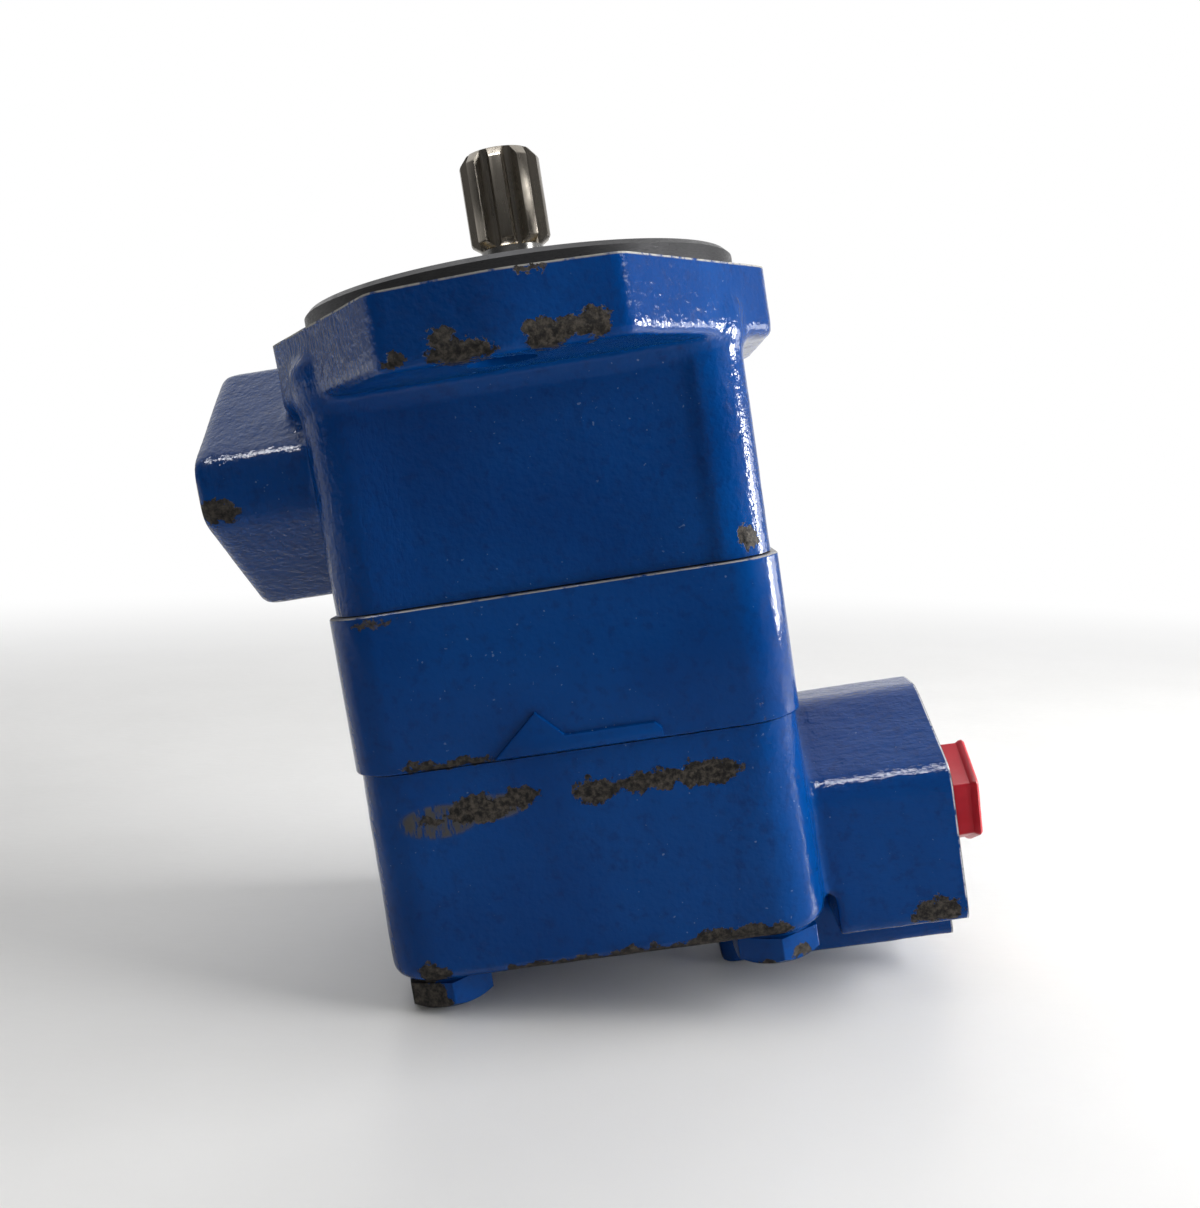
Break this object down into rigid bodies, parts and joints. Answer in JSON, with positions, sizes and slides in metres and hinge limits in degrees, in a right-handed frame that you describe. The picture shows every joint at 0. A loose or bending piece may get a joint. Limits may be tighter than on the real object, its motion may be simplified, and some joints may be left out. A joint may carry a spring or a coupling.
{
  "type": "hydraulic vane motor",
  "caption": "Small square-bodied hydraulic vane motor with a two-bolt flange, round pilot, splined shaft and side ports; shaft, vanes, bearing and port plug move.",
  "frame": {"origin": "centre of the rear cover's rear face, on the shaft's axis", "axes": "+Z along the shaft towards its splined end, +X towards the outlet port, +Y away from the side with the flow arrow"},
  "size_m": [0.1337, 0.1266, 0.1621],
  "materials": {
    "enamel": "glossy blue enamel",
    "shaft_steel": "dark turned steel",
    "ground_steel": "ground",
    "bearing_steel": "polished",
    "cage_brass": "satin",
    "spring_steel": "dark spring steel",
    "seal_rubber": "matt",
    "bronze": "satin",
    "red_plastic": "semi-gloss"
  },
  "bodies": {
    "housing": {"front_body": "enamel", "cam_ring": "enamel", "rear_cover": "enamel", "cover_screw_1": "enamel", "cover_screw_2": "enamel", "cover_screw_3": "enamel", "cover_screw_4": "enamel", "locating_pin_1": "ground_steel", "locating_pin_2": "ground_steel", "pressure_plate_spring": "spring_steel", "body_ring_seal": "seal_rubber", "cover_ring_seal": "seal_rubber", "bearing_outer_race": "bearing_steel", "bearing_snap_ring": "spring_steel", "shaft_seal_case": "spring_steel", "shaft_seal_lip": "seal_rubber", "shaft_seal_spring": "spring_steel", "shaft_bush": "bronze"},
    "shaft": {"drive_shaft": "shaft_steel", "rotor": "ground_steel", "bearing_inner_race": "bearing_steel", "shaft_snap_ring": "spring_steel"},
    "ball_cage": {"bearing_cage": "cage_brass", "bearing_ball_1": "bearing_steel", "bearing_ball_2": "bearing_steel", "bearing_ball_3": "bearing_steel", "bearing_ball_4": "bearing_steel", "bearing_ball_5": "bearing_steel", "bearing_ball_6": "bearing_steel", "bearing_ball_7": "bearing_steel", "bearing_ball_8": "bearing_steel"},
    "pressure_plate": {"pressure_plate": "ground_steel", "pressure_plate_seal": "seal_rubber"},
    "plug": {"outlet_port_plug": "red_plastic"},
    "vane_01": {"vane_01": "ground_steel"},
    "vane_02": {"vane_02": "ground_steel"},
    "vane_03": {"vane_03": "ground_steel"},
    "vane_04": {"vane_04": "ground_steel"},
    "vane_05": {"vane_05": "ground_steel"},
    "vane_06": {"vane_06": "ground_steel"},
    "vane_07": {"vane_07": "ground_steel"},
    "vane_08": {"vane_08": "ground_steel"},
    "vane_09": {"vane_09": "ground_steel"},
    "vane_10": {"vane_10": "ground_steel"},
    "vane_11": {"vane_11": "ground_steel"},
    "vane_12": {"vane_12": "ground_steel"}
  },
  "joints": [
    {"name": "shaft_spin", "type": "hinge", "parent": "housing", "child": "shaft", "pos_m": [0, 0, 0.1206], "axis": [0, 0, 1], "continuous": true},
    {"name": "ball_cage_spin", "type": "hinge", "parent": "housing", "child": "ball_cage", "pos_m": [0, 0, 0.1114], "axis": [0, 0, 1], "continuous": true},
    {"name": "pressure_plate_float", "type": "slide", "parent": "housing", "child": "pressure_plate", "axis": [0, 0, 1], "range_m": [-0.0008, 0], "stiffness_N_per_m": 4000, "springref_m": 0.006, "deforming": ["pressure_plate_spring"]},
    {"name": "plug_pull", "type": "slide", "parent": "housing", "child": "plug", "axis": [1, 0, 0], "range_m": [0, 0.03]},
    {"name": "vane_01_slide", "type": "slide", "parent": "shaft", "child": "vane_01", "axis": [0.9659, 0.2588, 0], "range_m": [-0.0012, 0.00233]},
    {"name": "vane_02_slide", "type": "slide", "parent": "shaft", "child": "vane_02", "axis": [0.7071, 0.7071, 0], "range_m": [-0.0012, 0.00125]},
    {"name": "vane_03_slide", "type": "slide", "parent": "shaft", "child": "vane_03", "axis": [0.2588, 0.9659, 0], "range_m": [-0.0012, 0.00017]},
    {"name": "vane_04_slide", "type": "slide", "parent": "shaft", "child": "vane_04", "axis": [-0.2588, 0.9659, 0], "range_m": [-0.0012, 0.00017]},
    {"name": "vane_05_slide", "type": "slide", "parent": "shaft", "child": "vane_05", "axis": [-0.7071, 0.7071, 0], "range_m": [-0.0012, 0.00125]},
    {"name": "vane_06_slide", "type": "slide", "parent": "shaft", "child": "vane_06", "axis": [-0.9659, 0.2588, 0], "range_m": [-0.0012, 0.00233]},
    {"name": "vane_07_slide", "type": "slide", "parent": "shaft", "child": "vane_07", "axis": [-0.9659, -0.2588, 0], "range_m": [-0.0012, 0.00233]},
    {"name": "vane_08_slide", "type": "slide", "parent": "shaft", "child": "vane_08", "axis": [-0.7071, -0.7071, 0], "range_m": [-0.0012, 0.00125]},
    {"name": "vane_09_slide", "type": "slide", "parent": "shaft", "child": "vane_09", "axis": [-0.2588, -0.9659, 0], "range_m": [-0.0012, 0.00017]},
    {"name": "vane_10_slide", "type": "slide", "parent": "shaft", "child": "vane_10", "axis": [0.2588, -0.9659, 0], "range_m": [-0.0012, 0.00017]},
    {"name": "vane_11_slide", "type": "slide", "parent": "shaft", "child": "vane_11", "axis": [0.7071, -0.7071, 0], "range_m": [-0.0012, 0.00125]},
    {"name": "vane_12_slide", "type": "slide", "parent": "shaft", "child": "vane_12", "axis": [0.9659, -0.2588, 0], "range_m": [-0.0012, 0.00233]}
  ],
  "couplings": [
    {"joint": "ball_cage_spin", "follows": "shaft_spin", "ratio": 0.3818}
  ]
}
